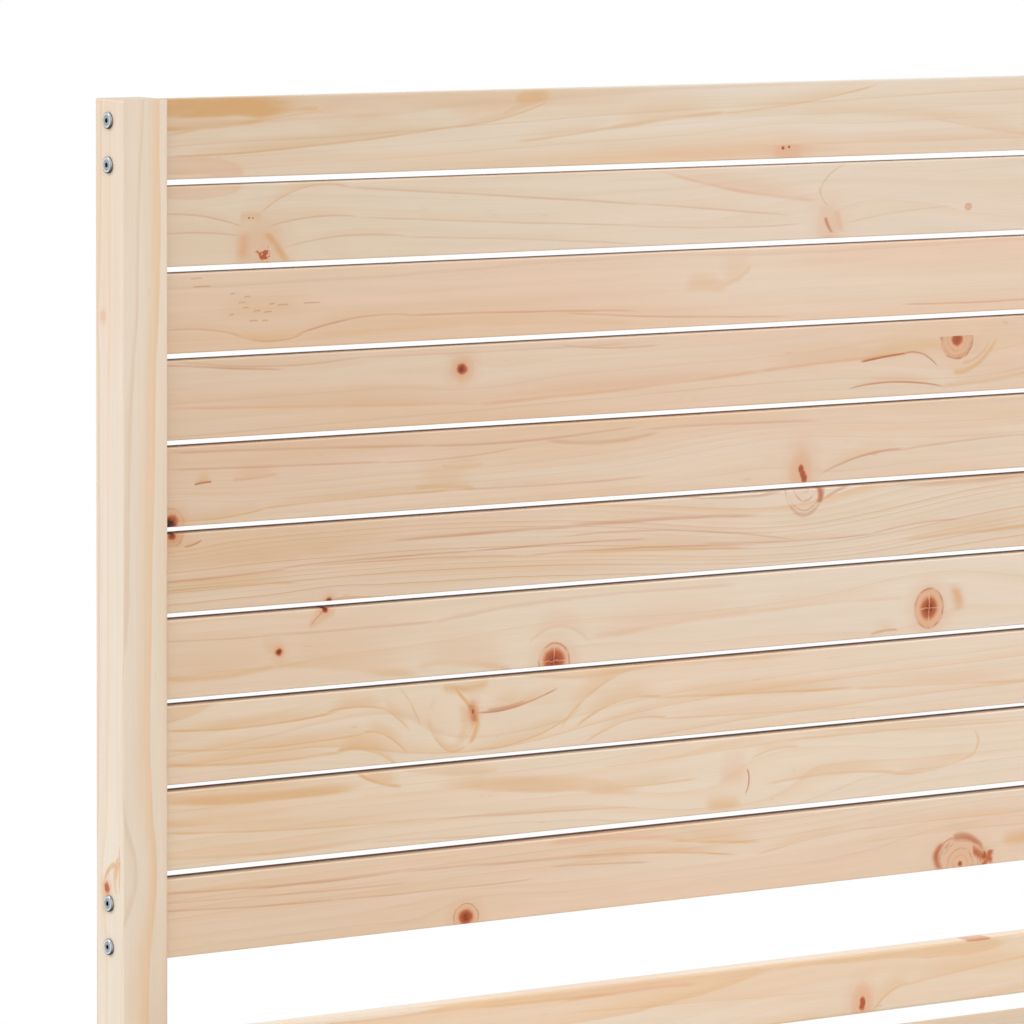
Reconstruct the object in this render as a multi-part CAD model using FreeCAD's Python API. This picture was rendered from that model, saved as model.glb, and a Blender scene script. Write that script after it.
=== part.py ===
import FreeCAD
import Part
import os
from collections import namedtuple

# A wooden double bed frame: a headboard of stacked boards between two square posts, a low foot end,
# side rails, and a slatted base on cleats and a centre beam. Millimetres, +Z up. The headboard is
# towards +Y, the width runs along X, and the origin is on the floor under the middle of the bed.

# Mattress that the frame holds, and the play around it
mattress_width = 1400.0
mattress_length = 2000.0
side_play = 3.0
end_play = 5.0

# Posts
post_size = 46.0
post_arris = 2.0
post_over_slat = 1.0

# Side rails, foot rail and head rail
rail_top_height = 270.0
rail_height = 120.0
rail_thickness = 22.0
rail_inset = 2.5
rail_arris = 2.0
head_rail_height = 58.5
head_rail_arris = 3.0

# Boards of the headboard
headboard_slats = 10
headboard_slat_width = 70.0
headboard_slat_thickness = 20.0
headboard_slat_arris = 1.5
slat_gap = 6.0
last_slat_gap = 7.6
head_rail_gap = 71.5
upper_fixing_share = 0.25
lower_fixing_share = 0.8

# Slats of the bed base
bed_slats = 14
bed_slat_width = 85.0
bed_slat_thickness = 18.0
bed_slat_arris = 2.0
bed_slat_end_gap = 3.0
deck_depth = 56.0

# Cleats inside the side rails
cleat_width = 28.0
cleat_height = 28.0
cleat_arris = 1.5
cleat_end_space = 8.0

# Centre beam and its notched legs
beam_width = 45.0
beam_height = 70.0
beam_arris = 2.0
beam_end_gap = 5.0
leg_depth = 45.0
leg_cheek = 22.0
leg_arris = 2.0
leg_screw_shares = (0.3, 0.7)

# Flat-head bolts with a hexagon socket
bolt_length = 80.0
bolt_diameter = 6.0
bolt_hole = 6.6
bolt_tail = 8.0
bolt_tip_chamfer = 0.8
bolt_hole_end_gap = 2.0
bolt_head_diameter = 14.8
bolt_head_height = 2.4
bolt_head_round = 1.1
socket_across_flats = 4.0
socket_depth = 3.4

# Barrel nuts that the bolts pull on
nut_diameter = 10.0
nut_length = 12.0
nut_bore = 6.2
nut_play = 0.1
nut_end_gap = 0.3
nut_slot_width = 1.4
nut_slot_depth = 1.2

# Wooden dowels
dowel_diameter = 8.0
dowel_length = 30.0
dowel_play = 0.1
dowel_end_gap = 0.5
dowel_chamfer = 1.0

# Countersunk wood screws
screw_diameter = 4.0
screw_head_diameter = 8.0
screw_head_height = 2.6
screw_tip_length = 4.0
screw_play = 0.1
screw_end_gap = 0.5
screw_sunk = 0.3
screw_cross_length = 4.6
screw_cross_width = 0.9
screw_cross_depth = 1.5
slat_screw_bite = 22.0
cleat_screw_bite = 12.0
leg_screw_bite = 32.0

# How far a cutting solid runs past the face that it opens
overrun = 1.0

# Places that follow from the sizes above
post_inner_x = mattress_width / 2 + side_play + rail_thickness + rail_inset - post_size
post_outer_x = post_inner_x + post_size
post_inner_y = mattress_length / 2 + end_play
post_outer_y = post_inner_y + post_size
post_middle_y = post_inner_y + post_size / 2
rail_outer_x = post_outer_x - rail_inset
rail_inner_x = rail_outer_x - rail_thickness
rail_middle_x = rail_inner_x + rail_thickness / 2
rail_bottom = rail_top_height - rail_height
head_rail_bottom = rail_top_height - head_rail_height
slat_stack = headboard_slats * headboard_slat_width + (headboard_slats - 2) * slat_gap + last_slat_gap
head_post_height = rail_top_height + head_rail_gap + slat_stack + post_over_slat
deck_top = rail_top_height - deck_depth
deck_bottom = deck_top - bed_slat_thickness
beam_bottom = deck_bottom - beam_height
nut_setback = bolt_length - post_size - bolt_tail
cleat_end_gap = nut_setback + nut_diameter + cleat_end_space
bed_slat_gap = (2 * post_inner_y - bed_slats * bed_slat_width) / (bed_slats + 1)
bed_slat_pitch = bed_slat_width + bed_slat_gap

# Heights of the bolts and dowels in the rails: those along X pass above and below those along Y
side_bolt_upper = rail_top_height - head_rail_height / 2
side_bolt_lower = (rail_bottom + head_rail_bottom) / 2
side_bolt_heights = (side_bolt_lower, side_bolt_upper)
foot_bolt_heights = ((rail_bottom + side_bolt_lower) / 2, (rail_top_height + side_bolt_upper) / 2)
rail_dowel_height = (side_bolt_lower + side_bolt_upper) / 2
head_bolt_shares = (0.25, 0.75)

# Signs of the two sides along X and the two ends along Y
left, right = -1, 1
foot_end, head_end = -1, 1

along_x = FreeCAD.Vector(1, 0, 0)
along_y = FreeCAD.Vector(0, 1, 0)
along_z = FreeCAD.Vector(0, 0, 1)

# A bolt's seat: the point on the post's outer face, the way in, and the way that the nut's hole opens
BoltSeat = namedtuple("BoltSeat", "point inward nut_opens board_thickness")

# A dowel's seat: the point where the two pieces meet, and the way into the post
DowelSeat = namedtuple("DowelSeat", "point into_post")

# A screw's seat: the point on the wood's face, the way in, and the screw's length
ScrewSeat = namedtuple("ScrewSeat", "point inward length")


def block(low, high):
    """Box between two corners."""
    size = high - low
    return Part.makeBox(size.x, size.y, size.z, low)


def board(low, high, grain, arris):
    """Box whose long edges, those along the grain, are rounded."""
    shape = block(low, high)
    long_edges = [edge for edge in shape.Edges if abs(edge.Curve.Direction.dot(grain)) > 0.5]
    return shape.makeFillet(arris, long_edges)


def eased_block(low, high, arris):
    """Box with every edge rounded."""
    shape = block(low, high)
    return shape.makeFillet(arris, shape.Edges)


def rod(start, direction, length, diameter):
    """Cylinder from a point along a direction."""
    return Part.makeCylinder(diameter / 2, length, start, direction)


def placed(shape, point, direction):
    """Copy of a fastener, drawn along its own Z, set at a point along a direction."""
    copy = shape.copy()
    copy.Placement = FreeCAD.Placement(point, FreeCAD.Rotation(along_z, direction))
    return copy


def with_holes(shape, cutters):
    """Shape with all the cutting solids taken out of it."""
    return shape.cut(Part.makeCompound(cutters))


def save(node, solids):
    """Write one node: a solid, or the separate solids of a group."""
    shape = solids[0] if len(solids) == 1 else Part.makeCompound(solids)
    shape.exportStep("parts/" + node + ".step")


# Fasteners, each drawn along its own Z with the seat of its head at zero

def hexagon(across_flats, height, base_z):
    """Hexagonal prism for a socket."""
    corner_radius = across_flats / 3 ** 0.5
    start = FreeCAD.Vector(corner_radius, 0, base_z)
    turns = [FreeCAD.Rotation(along_z, 60 * step) for step in range(7)]
    outline = Part.makePolygon([turn.multVec(start) for turn in turns])
    return Part.Face(outline).extrude(along_z * height)


def connector_bolt():
    """Bolt with a wide flat head, rounded at its rim, and a hexagon socket."""
    head = rod(along_z * -bolt_head_height, along_z, bolt_head_height, bolt_head_diameter)
    rim = [edge for edge in head.Edges if edge.BoundBox.ZMax < -bolt_head_height / 2]
    head = head.makeFillet(bolt_head_round, rim)
    shank = rod(FreeCAD.Vector(), along_z, bolt_length, bolt_diameter)
    tip = [edge for edge in shank.Edges if edge.BoundBox.ZMin > bolt_length / 2]
    shank = shank.makeChamfer(bolt_tip_chamfer, tip)
    socket = hexagon(socket_across_flats, socket_depth + overrun, -bolt_head_height - overrun)
    return head.fuse(shank).removeSplitter().cut(socket)


def barrel_nut():
    """Round cross nut: bored through its side, and slotted at the end that faces the open hole."""
    body = rod(along_z * (-nut_length / 2), along_z, nut_length, nut_diameter)
    bore = rod(along_x * -nut_diameter, along_x, 2 * nut_diameter, nut_bore)
    slot_low = FreeCAD.Vector(-nut_diameter, -nut_slot_width / 2, nut_length / 2 - nut_slot_depth)
    slot_high = FreeCAD.Vector(nut_diameter, nut_slot_width / 2, nut_length / 2 + overrun)
    return with_holes(body, [bore, block(slot_low, slot_high)])


def dowel():
    """Wooden dowel with chamfered ends, centred on its seat."""
    pin = rod(along_z * (-dowel_length / 2), along_z, dowel_length, dowel_diameter)
    rims = [edge for edge in pin.Edges if edge.BoundBox.ZLength < dowel_chamfer]
    return pin.makeChamfer(dowel_chamfer, rims)


def wood_screw(length):
    """Countersunk screw with a cross recess."""
    head = Part.makeCone(screw_head_diameter / 2, screw_diameter / 2, screw_head_height)
    shank_length = length - screw_head_height - screw_tip_length
    shank = rod(along_z * screw_head_height, along_z, shank_length, screw_diameter)
    tip_base = along_z * (length - screw_tip_length)
    tip = Part.makeCone(screw_diameter / 2, 0, screw_tip_length, tip_base)
    recess_low = FreeCAD.Vector(-screw_cross_length / 2, -screw_cross_width / 2, -overrun)
    recess_high = FreeCAD.Vector(screw_cross_length / 2, screw_cross_width / 2, screw_cross_depth)
    recess = block(recess_low, recess_high)
    crossing = recess.copy()
    crossing.rotate(FreeCAD.Vector(), along_z, 90)
    return with_holes(head.fuse([shank, tip]).removeSplitter(), [recess, crossing])


# Holes that the fasteners sit in

def bolt_post_hole(seat):
    """Hole right through a post for a bolt."""
    return rod(seat.point - seat.inward * overrun, seat.inward, post_size + 2 * overrun, bolt_hole)


def bolt_board_holes(seat):
    """Hole along a board or rail from its end, and the cross hole for the barrel nut."""
    reach = bolt_length - post_size + bolt_hole_end_gap + overrun
    entry = seat.point + seat.inward * (post_size - overrun)
    centre = nut_centre(seat)
    blind_depth = nut_length / 2 + nut_end_gap
    start = centre - seat.nut_opens * blind_depth
    length = blind_depth + seat.board_thickness / 2 + overrun
    return [rod(entry, seat.inward, reach, bolt_hole),
            rod(start, seat.nut_opens, length, nut_diameter + 2 * nut_play)]


def nut_centre(seat):
    """Middle of the barrel nut that a bolt runs through."""
    return seat.point + seat.inward * (post_size + nut_setback)


def dowel_hole(seat):
    """Hole for a dowel, half of it in each of the two pieces."""
    half = dowel_length / 2 + dowel_end_gap
    return rod(seat.point - seat.into_post * half, seat.into_post, 2 * half, dowel_diameter + 2 * dowel_play)


def screw_hole(seat):
    """Countersunk hole for a wood screw."""
    mouth = seat.point - seat.inward * overrun
    head_top = seat.point + seat.inward * screw_sunk
    wide = screw_head_diameter / 2 + screw_play
    narrow = screw_diameter / 2 + screw_play
    entry = rod(mouth, seat.inward, overrun + screw_sunk, 2 * wide)
    sink = Part.makeCone(wide, narrow, screw_head_height, head_top, seat.inward)
    hole = rod(head_top, seat.inward, seat.length + screw_end_gap, 2 * narrow)
    return entry.fuse([sink, hole])


# Seats of the headboard's fasteners

def headboard_slat_tops():
    """Heights of the boards' top edges, from the top board down."""
    tops = []
    top = head_post_height - post_over_slat
    for number in range(headboard_slats):
        tops.append(top)
        gap = last_slat_gap if number == headboard_slats - 2 else slat_gap
        top -= headboard_slat_width + gap
    return tops


def headboard_fixing_heights(slat_top):
    """Heights of the two fixings at each end of a board."""
    return [slat_top - share * headboard_slat_width for share in (upper_fixing_share, lower_fixing_share)]


def cross_bolt_seats(side, middle_y, heights, board_thickness):
    """Bolts along X through a post into boards or a rail, with the nut holes opening towards +Y."""
    return [BoltSeat(FreeCAD.Vector(side * post_outer_x, middle_y, height), along_x * -side, along_y,
                     board_thickness) for height in heights]


def cross_dowel_seats(side, middle_y, heights):
    """Dowels along X between a post and the pieces that meet its inner face."""
    return [DowelSeat(FreeCAD.Vector(side * post_inner_x, middle_y, height), along_x * side)
            for height in heights]


def bolted_slat_tops():
    """The top board and the lowest board, which are bolted."""
    tops = headboard_slat_tops()
    return [tops[0], tops[-1]]


def headboard_bolt_seats(side):
    """Bolts of the top board and the lowest board at one post."""
    heights = [height for top in bolted_slat_tops() for height in headboard_fixing_heights(top)]
    return cross_bolt_seats(side, post_middle_y, heights, headboard_slat_thickness)


def headboard_dowel_seats(side):
    """Dowels of all the boards in between at one post."""
    heights = [height for top in headboard_slat_tops()[1:-1] for height in headboard_fixing_heights(top)]
    return cross_dowel_seats(side, post_middle_y, heights)


def head_rail_bolt_seats(side):
    """Bolts of the head rail at one post."""
    heights = [head_rail_bottom + share * head_rail_height for share in head_bolt_shares]
    return cross_bolt_seats(side, post_middle_y, heights, rail_thickness)


# Seats of the rails' fasteners

def foot_rail_bolt_seats(side):
    """Bolts of the foot rail at one post."""
    return cross_bolt_seats(side, -post_middle_y, foot_bolt_heights, rail_thickness)


def foot_rail_dowel_seats(side):
    """Dowel of the foot rail at one post."""
    return cross_dowel_seats(side, -post_middle_y, [rail_dowel_height])


def side_rail_bolt_seats(side, end):
    """Bolts along Y through the post at one end of a side rail, with the nut holes opening inwards."""
    return [BoltSeat(FreeCAD.Vector(side * rail_middle_x, end * post_outer_y, height), along_y * -end,
                     along_x * -side, rail_thickness) for height in side_bolt_heights]


def side_rail_dowel_seats(side, end):
    """Dowel along Y at one end of a side rail."""
    return [DowelSeat(FreeCAD.Vector(side * rail_middle_x, end * post_inner_y, rail_dowel_height),
                      along_y * end)]


# Seats of the screws

def bed_slat_middle(number):
    """Place along Y of a base slat's middle, counted from the head."""
    return post_inner_y - bed_slat_gap - bed_slat_width / 2 - number * bed_slat_pitch


def bed_slat_screw_seats(number):
    """Screws of one base slat: into both cleats and into the centre beam."""
    cleat_middle_x = rail_inner_x - cleat_width / 2
    length = bed_slat_thickness + slat_screw_bite
    return [ScrewSeat(FreeCAD.Vector(x, bed_slat_middle(number), deck_top), along_z * -1, length)
            for x in (-cleat_middle_x, 0, cleat_middle_x)]


def slat_gap_middle(number):
    """Place along Y of the gap behind a base slat, counted from the head."""
    return bed_slat_middle(number) - bed_slat_pitch / 2


def cleat_screw_seats(side):
    """Screws that hold a cleat to its side rail, in every second gap between the slats."""
    height = deck_bottom - cleat_height / 2
    length = cleat_width + cleat_screw_bite
    return [ScrewSeat(FreeCAD.Vector(side * (rail_inner_x - cleat_width), slat_gap_middle(number), height),
                      along_x * side, length) for number in range(0, bed_slats - 1, 2)]


def leg_middles():
    """Places along Y of the legs, each in a gap between two slats."""
    return {"head": slat_gap_middle(0), "middle": slat_gap_middle(bed_slats // 2 - 1),
            "foot": slat_gap_middle(bed_slats - 2)}


def leg_screw_seats(middle_y):
    """Screws through a leg's cheek into the beam, one above the other."""
    length = leg_cheek + leg_screw_bite
    heights = [beam_bottom + share * beam_height for share in leg_screw_shares]
    return [ScrewSeat(FreeCAD.Vector(beam_width / 2 + leg_cheek, middle_y, height), along_x * -1, length)
            for height in heights]


# Wooden pieces

def post(side, end, height, cutters):
    """Square post at one corner, with its holes."""
    low = FreeCAD.Vector(min(side * post_inner_x, side * post_outer_x),
                         min(end * post_inner_y, end * post_outer_y), 0)
    high = low + FreeCAD.Vector(post_size, post_size, height)
    return with_holes(eased_block(low, high, post_arris), cutters)


def head_post(side):
    """Tall post of the headboard."""
    bolts_in = headboard_bolt_seats(side) + head_rail_bolt_seats(side) + side_rail_bolt_seats(side, head_end)
    cutters = [bolt_post_hole(seat) for seat in bolts_in]
    dowels_in = headboard_dowel_seats(side) + side_rail_dowel_seats(side, head_end)
    cutters += [dowel_hole(seat) for seat in dowels_in]
    return post(side, head_end, head_post_height, cutters)


def foot_post(side):
    """Low post of the foot end, level with the rails."""
    bolts_in = foot_rail_bolt_seats(side) + side_rail_bolt_seats(side, foot_end)
    dowels_in = foot_rail_dowel_seats(side) + side_rail_dowel_seats(side, foot_end)
    cutters = [bolt_post_hole(seat) for seat in bolts_in]
    cutters += [dowel_hole(seat) for seat in dowels_in]
    return post(side, foot_end, rail_top_height, cutters)


def cross_board(middle_y, thickness, bottom, top, arris):
    """Board along X between two posts, in the middle of their depth."""
    low = FreeCAD.Vector(-post_inner_x, middle_y - thickness / 2, bottom)
    high = FreeCAD.Vector(post_inner_x, middle_y + thickness / 2, top)
    return board(low, high, along_x, arris)


def headboard_slat(top):
    """One board of the headboard: bolted if it is the top or the lowest one, and dowelled if not."""
    shape = cross_board(post_middle_y, headboard_slat_thickness, top - headboard_slat_width, top,
                        headboard_slat_arris)
    cutters = []
    for side in (left, right):
        if top in bolted_slat_tops():
            seats = cross_bolt_seats(side, post_middle_y, headboard_fixing_heights(top),
                                     headboard_slat_thickness)
            cutters += [hole for seat in seats for hole in bolt_board_holes(seat)]
        else:
            seats = cross_dowel_seats(side, post_middle_y, headboard_fixing_heights(top))
            cutters += [dowel_hole(seat) for seat in seats]
    return with_holes(shape, cutters)


def head_rail():
    """Lower rail of the headboard."""
    shape = cross_board(post_middle_y, rail_thickness, head_rail_bottom, rail_top_height, head_rail_arris)
    seats = both(head_rail_bolt_seats)
    return with_holes(shape, [hole for seat in seats for hole in bolt_board_holes(seat)])


def foot_rail():
    """Rail across the foot end."""
    shape = cross_board(-post_middle_y, rail_thickness, rail_bottom, rail_top_height, rail_arris)
    cutters = []
    for side in (left, right):
        cutters += [hole for seat in foot_rail_bolt_seats(side) for hole in bolt_board_holes(seat)]
        cutters += [dowel_hole(seat) for seat in foot_rail_dowel_seats(side)]
    return with_holes(shape, cutters)


def side_rail(side):
    """Rail along one side, between the head post and the foot post."""
    low = FreeCAD.Vector(min(side * rail_inner_x, side * rail_outer_x), -post_inner_y, rail_bottom)
    high = low + FreeCAD.Vector(rail_thickness, 2 * post_inner_y, rail_height)
    cutters = [screw_hole(seat) for seat in cleat_screw_seats(side)]
    for end in (foot_end, head_end):
        cutters += [hole for seat in side_rail_bolt_seats(side, end) for hole in bolt_board_holes(seat)]
        cutters += [dowel_hole(seat) for seat in side_rail_dowel_seats(side, end)]
    return with_holes(board(low, high, along_y, rail_arris), cutters)


def side_cleat(side):
    """Batten that carries the slats' ends, clear of the nut holes at the rail's ends."""
    cleat_inner_x = rail_inner_x - cleat_width
    half_length = post_inner_y - cleat_end_gap
    low_x = min(side * cleat_inner_x, side * rail_inner_x)
    low = FreeCAD.Vector(low_x, -half_length, deck_bottom - cleat_height)
    high = low + FreeCAD.Vector(cleat_width, 2 * half_length, cleat_height)
    cutters = [screw_hole(seat) for seat in cleat_screw_seats(side)]
    cutters += [screw_hole(seat) for number in range(bed_slats) for seat in bed_slat_screw_seats(number)]
    return with_holes(board(low, high, along_y, cleat_arris), cutters)


def bed_slat(number):
    """One slat of the base, lying on both cleats and on the beam."""
    half_length = rail_inner_x - bed_slat_end_gap
    middle = bed_slat_middle(number)
    low = FreeCAD.Vector(-half_length, middle - bed_slat_width / 2, deck_bottom)
    high = FreeCAD.Vector(half_length, middle + bed_slat_width / 2, deck_top)
    cutters = [screw_hole(seat) for seat in bed_slat_screw_seats(number)]
    return with_holes(board(low, high, along_x, bed_slat_arris), cutters)


def centre_beam():
    """Beam under the middle of the slats."""
    half_length = post_inner_y - beam_end_gap
    low = FreeCAD.Vector(-beam_width / 2, -half_length, beam_bottom)
    high = FreeCAD.Vector(beam_width / 2, half_length, deck_bottom)
    cutters = [screw_hole(seat) for number in range(bed_slats) for seat in bed_slat_screw_seats(number)]
    cutters += [screw_hole(seat) for middle_y in leg_middles().values() for seat in leg_screw_seats(middle_y)]
    return with_holes(board(low, high, along_y, beam_arris), cutters)


def centre_leg(middle_y):
    """Leg under the beam, with a cheek that is screwed to the beam's side."""
    low = FreeCAD.Vector(-beam_width / 2, middle_y - leg_depth / 2, 0)
    high = FreeCAD.Vector(beam_width / 2 + leg_cheek, middle_y + leg_depth / 2, deck_bottom)
    notch_low = FreeCAD.Vector(low.x - overrun, low.y - overrun, beam_bottom)
    notch_high = FreeCAD.Vector(beam_width / 2, high.y + overrun, high.z + overrun)
    cutters = [screw_hole(seat) for seat in leg_screw_seats(middle_y)]
    return with_holes(eased_block(low, high, leg_arris), [block(notch_low, notch_high)] + cutters)


# Groups of like fasteners

def bolts(seats):
    """One bolt for each seat."""
    bolt = connector_bolt()
    return [placed(bolt, seat.point, seat.inward) for seat in seats]


def barrel_nuts(seats):
    """One barrel nut for each seat, turned so that its bore lies along the bolt."""
    nut = barrel_nut()
    nuts = []
    for seat in seats:
        across = seat.nut_opens.cross(seat.inward)
        turn = FreeCAD.Rotation(seat.inward, across, seat.nut_opens, "ZXY")
        copy = nut.copy()
        copy.Placement = FreeCAD.Placement(nut_centre(seat), turn)
        nuts.append(copy)
    return nuts


def dowels(seats):
    """One dowel for each seat."""
    pin = dowel()
    return [placed(pin, seat.point, seat.into_post) for seat in seats]


def screws(seats):
    """One screw for each seat of a group, all of one length."""
    screw = wood_screw(seats[0].length)
    return [placed(screw, seat.point + seat.inward * screw_sunk, seat.inward) for seat in seats]


def both(seats_at):
    """Seats of one kind at the left and at the right."""
    return seats_at(left) + seats_at(right)


def corners(seats_at):
    """Seats of one kind at all four corners."""
    return [seat for side in (left, right) for end in (foot_end, head_end)
            for seat in seats_at(side, end)]


os.makedirs("parts", exist_ok=True)

for side, name in ((left, "left"), (right, "right")):
    save("head_post_" + name, [head_post(side)])
    save("foot_post_" + name, [foot_post(side)])
    save("side_rail_" + name, [side_rail(side)])
    save("side_cleat_" + name, [side_cleat(side)])

for number, top in enumerate(headboard_slat_tops(), start=1):
    save("headboard_slat_%02d" % number, [headboard_slat(top)])

for number in range(bed_slats):
    save("bed_slat_%02d" % (number + 1), [bed_slat(number)])

save("head_rail", [head_rail()])
save("foot_rail", [foot_rail()])
save("centre_beam", [centre_beam()])
for name, middle_y in leg_middles().items():
    save("centre_leg_" + name, [centre_leg(middle_y)])

headboard_seats = both(headboard_bolt_seats) + both(head_rail_bolt_seats)
save("headboard_bolts", bolts(headboard_seats))
save("headboard_barrel_nuts", barrel_nuts(headboard_seats))
save("headboard_dowels", dowels(both(headboard_dowel_seats)))
save("side_rail_bolts", bolts(corners(side_rail_bolt_seats)))
save("side_rail_barrel_nuts", barrel_nuts(corners(side_rail_bolt_seats)))
save("foot_rail_bolts", bolts(both(foot_rail_bolt_seats)))
save("foot_rail_barrel_nuts", barrel_nuts(both(foot_rail_bolt_seats)))
save("rail_dowels", dowels(corners(side_rail_dowel_seats) + both(foot_rail_dowel_seats)))
save("cleat_screws", screws(both(cleat_screw_seats)))
save("bed_slat_screws",
     screws([seat for number in range(bed_slats) for seat in bed_slat_screw_seats(number)]))
save("leg_screws",
     screws([seat for middle_y in leg_middles().values() for seat in leg_screw_seats(middle_y)]))
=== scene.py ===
import math
import random
from functools import partial

import bpy
from mathutils import Matrix, Vector


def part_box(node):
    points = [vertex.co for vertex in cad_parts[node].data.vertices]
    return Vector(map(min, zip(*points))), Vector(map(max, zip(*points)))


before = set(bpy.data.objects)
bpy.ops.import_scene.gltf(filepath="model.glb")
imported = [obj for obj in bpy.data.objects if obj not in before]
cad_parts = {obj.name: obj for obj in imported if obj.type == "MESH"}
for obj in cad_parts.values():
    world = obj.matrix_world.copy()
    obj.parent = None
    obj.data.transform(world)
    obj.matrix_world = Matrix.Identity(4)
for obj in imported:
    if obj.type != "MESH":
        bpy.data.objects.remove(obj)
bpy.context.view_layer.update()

# Camera: the place, direction and focal length that the photograph's edges were fitted to
image_pixels = 1024
sensor_width_mm = 36.0
focal_pixels = 6493.3
camera_place = Vector((-3.6367, -3.7875, 1.3700))
camera_azimuth = math.radians(34.710)
camera_dip = math.radians(6.391)
camera_roll = math.radians(0.331)

# Light: a pale room, brighter above and in front, a soft key from the left behind and a fill from the front
room_light = 0.56
room_above = 0.25
room_in_front = 0.16
key_light = 1.25
key_softness = math.radians(14)
key_direction = Vector((0.62, -0.42, -0.60))
fill_light = 0.86
fill_softness = math.radians(60)
fill_direction = Vector((0.25, 0.85, -0.45))

# Floor
floor_colour = (0.92, 0.92, 0.915, 1.0)
floor_half_width = 60.0
bed_half_width = 0.73
bed_half_length = 1.06
shade_from = 0.15
white_from = 0.95

# Wood colours, linear
pale_wood = (0.745, 0.640, 0.525, 1.0)
rosy_wood = (0.740, 0.555, 0.425, 1.0)
golden_wood = (0.735, 0.510, 0.310, 1.0)
stain_wood = (0.665, 0.400, 0.178, 1.0)
late_wood = (0.560, 0.350, 0.210, 1.0)
vein_wood = (0.480, 0.140, 0.052, 1.0)
pink_wood = (0.700, 0.425, 0.272, 1.0)
rim_wood = (0.480, 0.200, 0.100, 1.0)
knot_halo = (0.650, 0.330, 0.170, 1.0)
knot_red = (0.440, 0.105, 0.040, 1.0)
knot_dark = (0.190, 0.028, 0.012, 1.0)
knot_hole = (0.025, 0.008, 0.004, 1.0)
end_wood = (0.560, 0.400, 0.250, 1.0)
# Colour of the painted shade on the faces between boards
painted_gap_shade = (0.25, 0.11, 0.035, 1.0)
# Tint of a painted light falloff that makes boards darker and more golden towards the left post
falloff_shade_tint = (0.895, 0.850, 0.785, 1.0)

# Wood finish: thin lacquer, which the faces between two boards lack. From front to back these faces get a
# dark painted shade, and towards the left post the boards get a painted light falloff, each between two
# distances in metres from a board's middle.
wood_index = 1.45
wood_shine = 0.30
wood_shine_between = 0.05
lacquer = 0.35
lacquer_roughness = 0.30
grain_bump = 0.35
grain_height = 0.00012
gap_shade_depths = (-0.0045, 0.0035)
falloff_along = (0.02, -0.74)

# Figure of the wood: noise scales along, across and through the board, those of the rings with their shares
ring_waves = (((1.4, 4.0, 4.0), 1.0), ((5.0, 15.0, 15.0), 0.30), ((20.0, 60.0, 60.0), 0.07))
rosy_scale = (1.8, 14.0, 14.0)
golden_scale = (1.3, 20.0, 20.0)
golden_offset = (3.7, 1.9, 5.1)
fibre_scale = (14.0, 900.0, 900.0)
strand_scale = (4.0, 150.0, 150.0)
fleck_scale = (30.0, 420.0, 420.0)
wander_scale = (13.0, 60.0, 60.0)

# Knots: how far along the board their grain bends, the rings of a core and of the arcs, the radii from which
# the outline is uneven in a middling and in a coarse way, and the noise scales from coarse to fine
tail_stretch = 3.4
tail_fall = -0.28
core_rings = 42.0
arc_rings = 24.0
middling_knot = 0.009
big_knot = 0.019
unevenness_scales = (70.0, 130.0, 330.0)

# Knots at seeded places: the share of big ones and of cracked ones among these, the radii, and the part of
# the board's width that they keep to
big_share = 0.45
cracked_share = 0.6
big_radii = (0.012, 0.018)
small_radii = (0.004, 0.009)
kept_width = (0.15, 0.85)

# Streaks: metres for one unit of width, their depth in the wood, how far they wander (at least, and by their
# width), gains of strength and length, the glow's share and height, and how lines and blunt stains end; a
# streak is blunt by a low softness or a large width
width_unit = 0.00135
streak_depth = 0.03
wander_least = 0.0006
wander_by_width = 0.8
strength_gain = 1.2
length_gain = 1.10
glow_share = 0.60
glow_rise = 0.16
line_ends = {"Fade": 0.72, "Power": 6.0}
blunt_ends = {"Fade": 0.95, "Power": 2.0}
blunt_soft = 0.8
blunt_width = 6.5

# Metal and dowels: noise scales and the height of the zinc's spangle
spangle_scale = 900.0
cloud_scale = 120.0
spangle_bump = 0.3
spangle_height = 0.00004
beech_scale = (60.0, 1500.0, 1500.0)
beech_pale = (0.60, 0.38, 0.22, 1.0)
beech_dark = (0.46, 0.27, 0.15, 1.0)

# Bolt heads: their places up a board, the radii of socket, bevel and rim where each begins and is full, their
# brightness with painted shade in the socket and a painted highlight on the bevel, and how the rim's painted
# shade darkens from its top to its bottom
bolt_shares = (0.20, 0.75)
turning_marks = 9000.0
turning_shine = (0.86, 1.10)
head_reach = 0.012
socket_edge = (0.0014, 0.0026)
socket_painted_shade = (0.16, 1.0)
bevel_inside = (0.0049, 0.0055)
bevel_outside = (0.0064, 0.0059)
bevel_highlight_gain = 1.1
rim_edge = (0.0060, 0.0066)
rim_rise = (0.0010, -0.0055)
rim_shade = (0.05, 0.80)


# Node helpers

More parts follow.
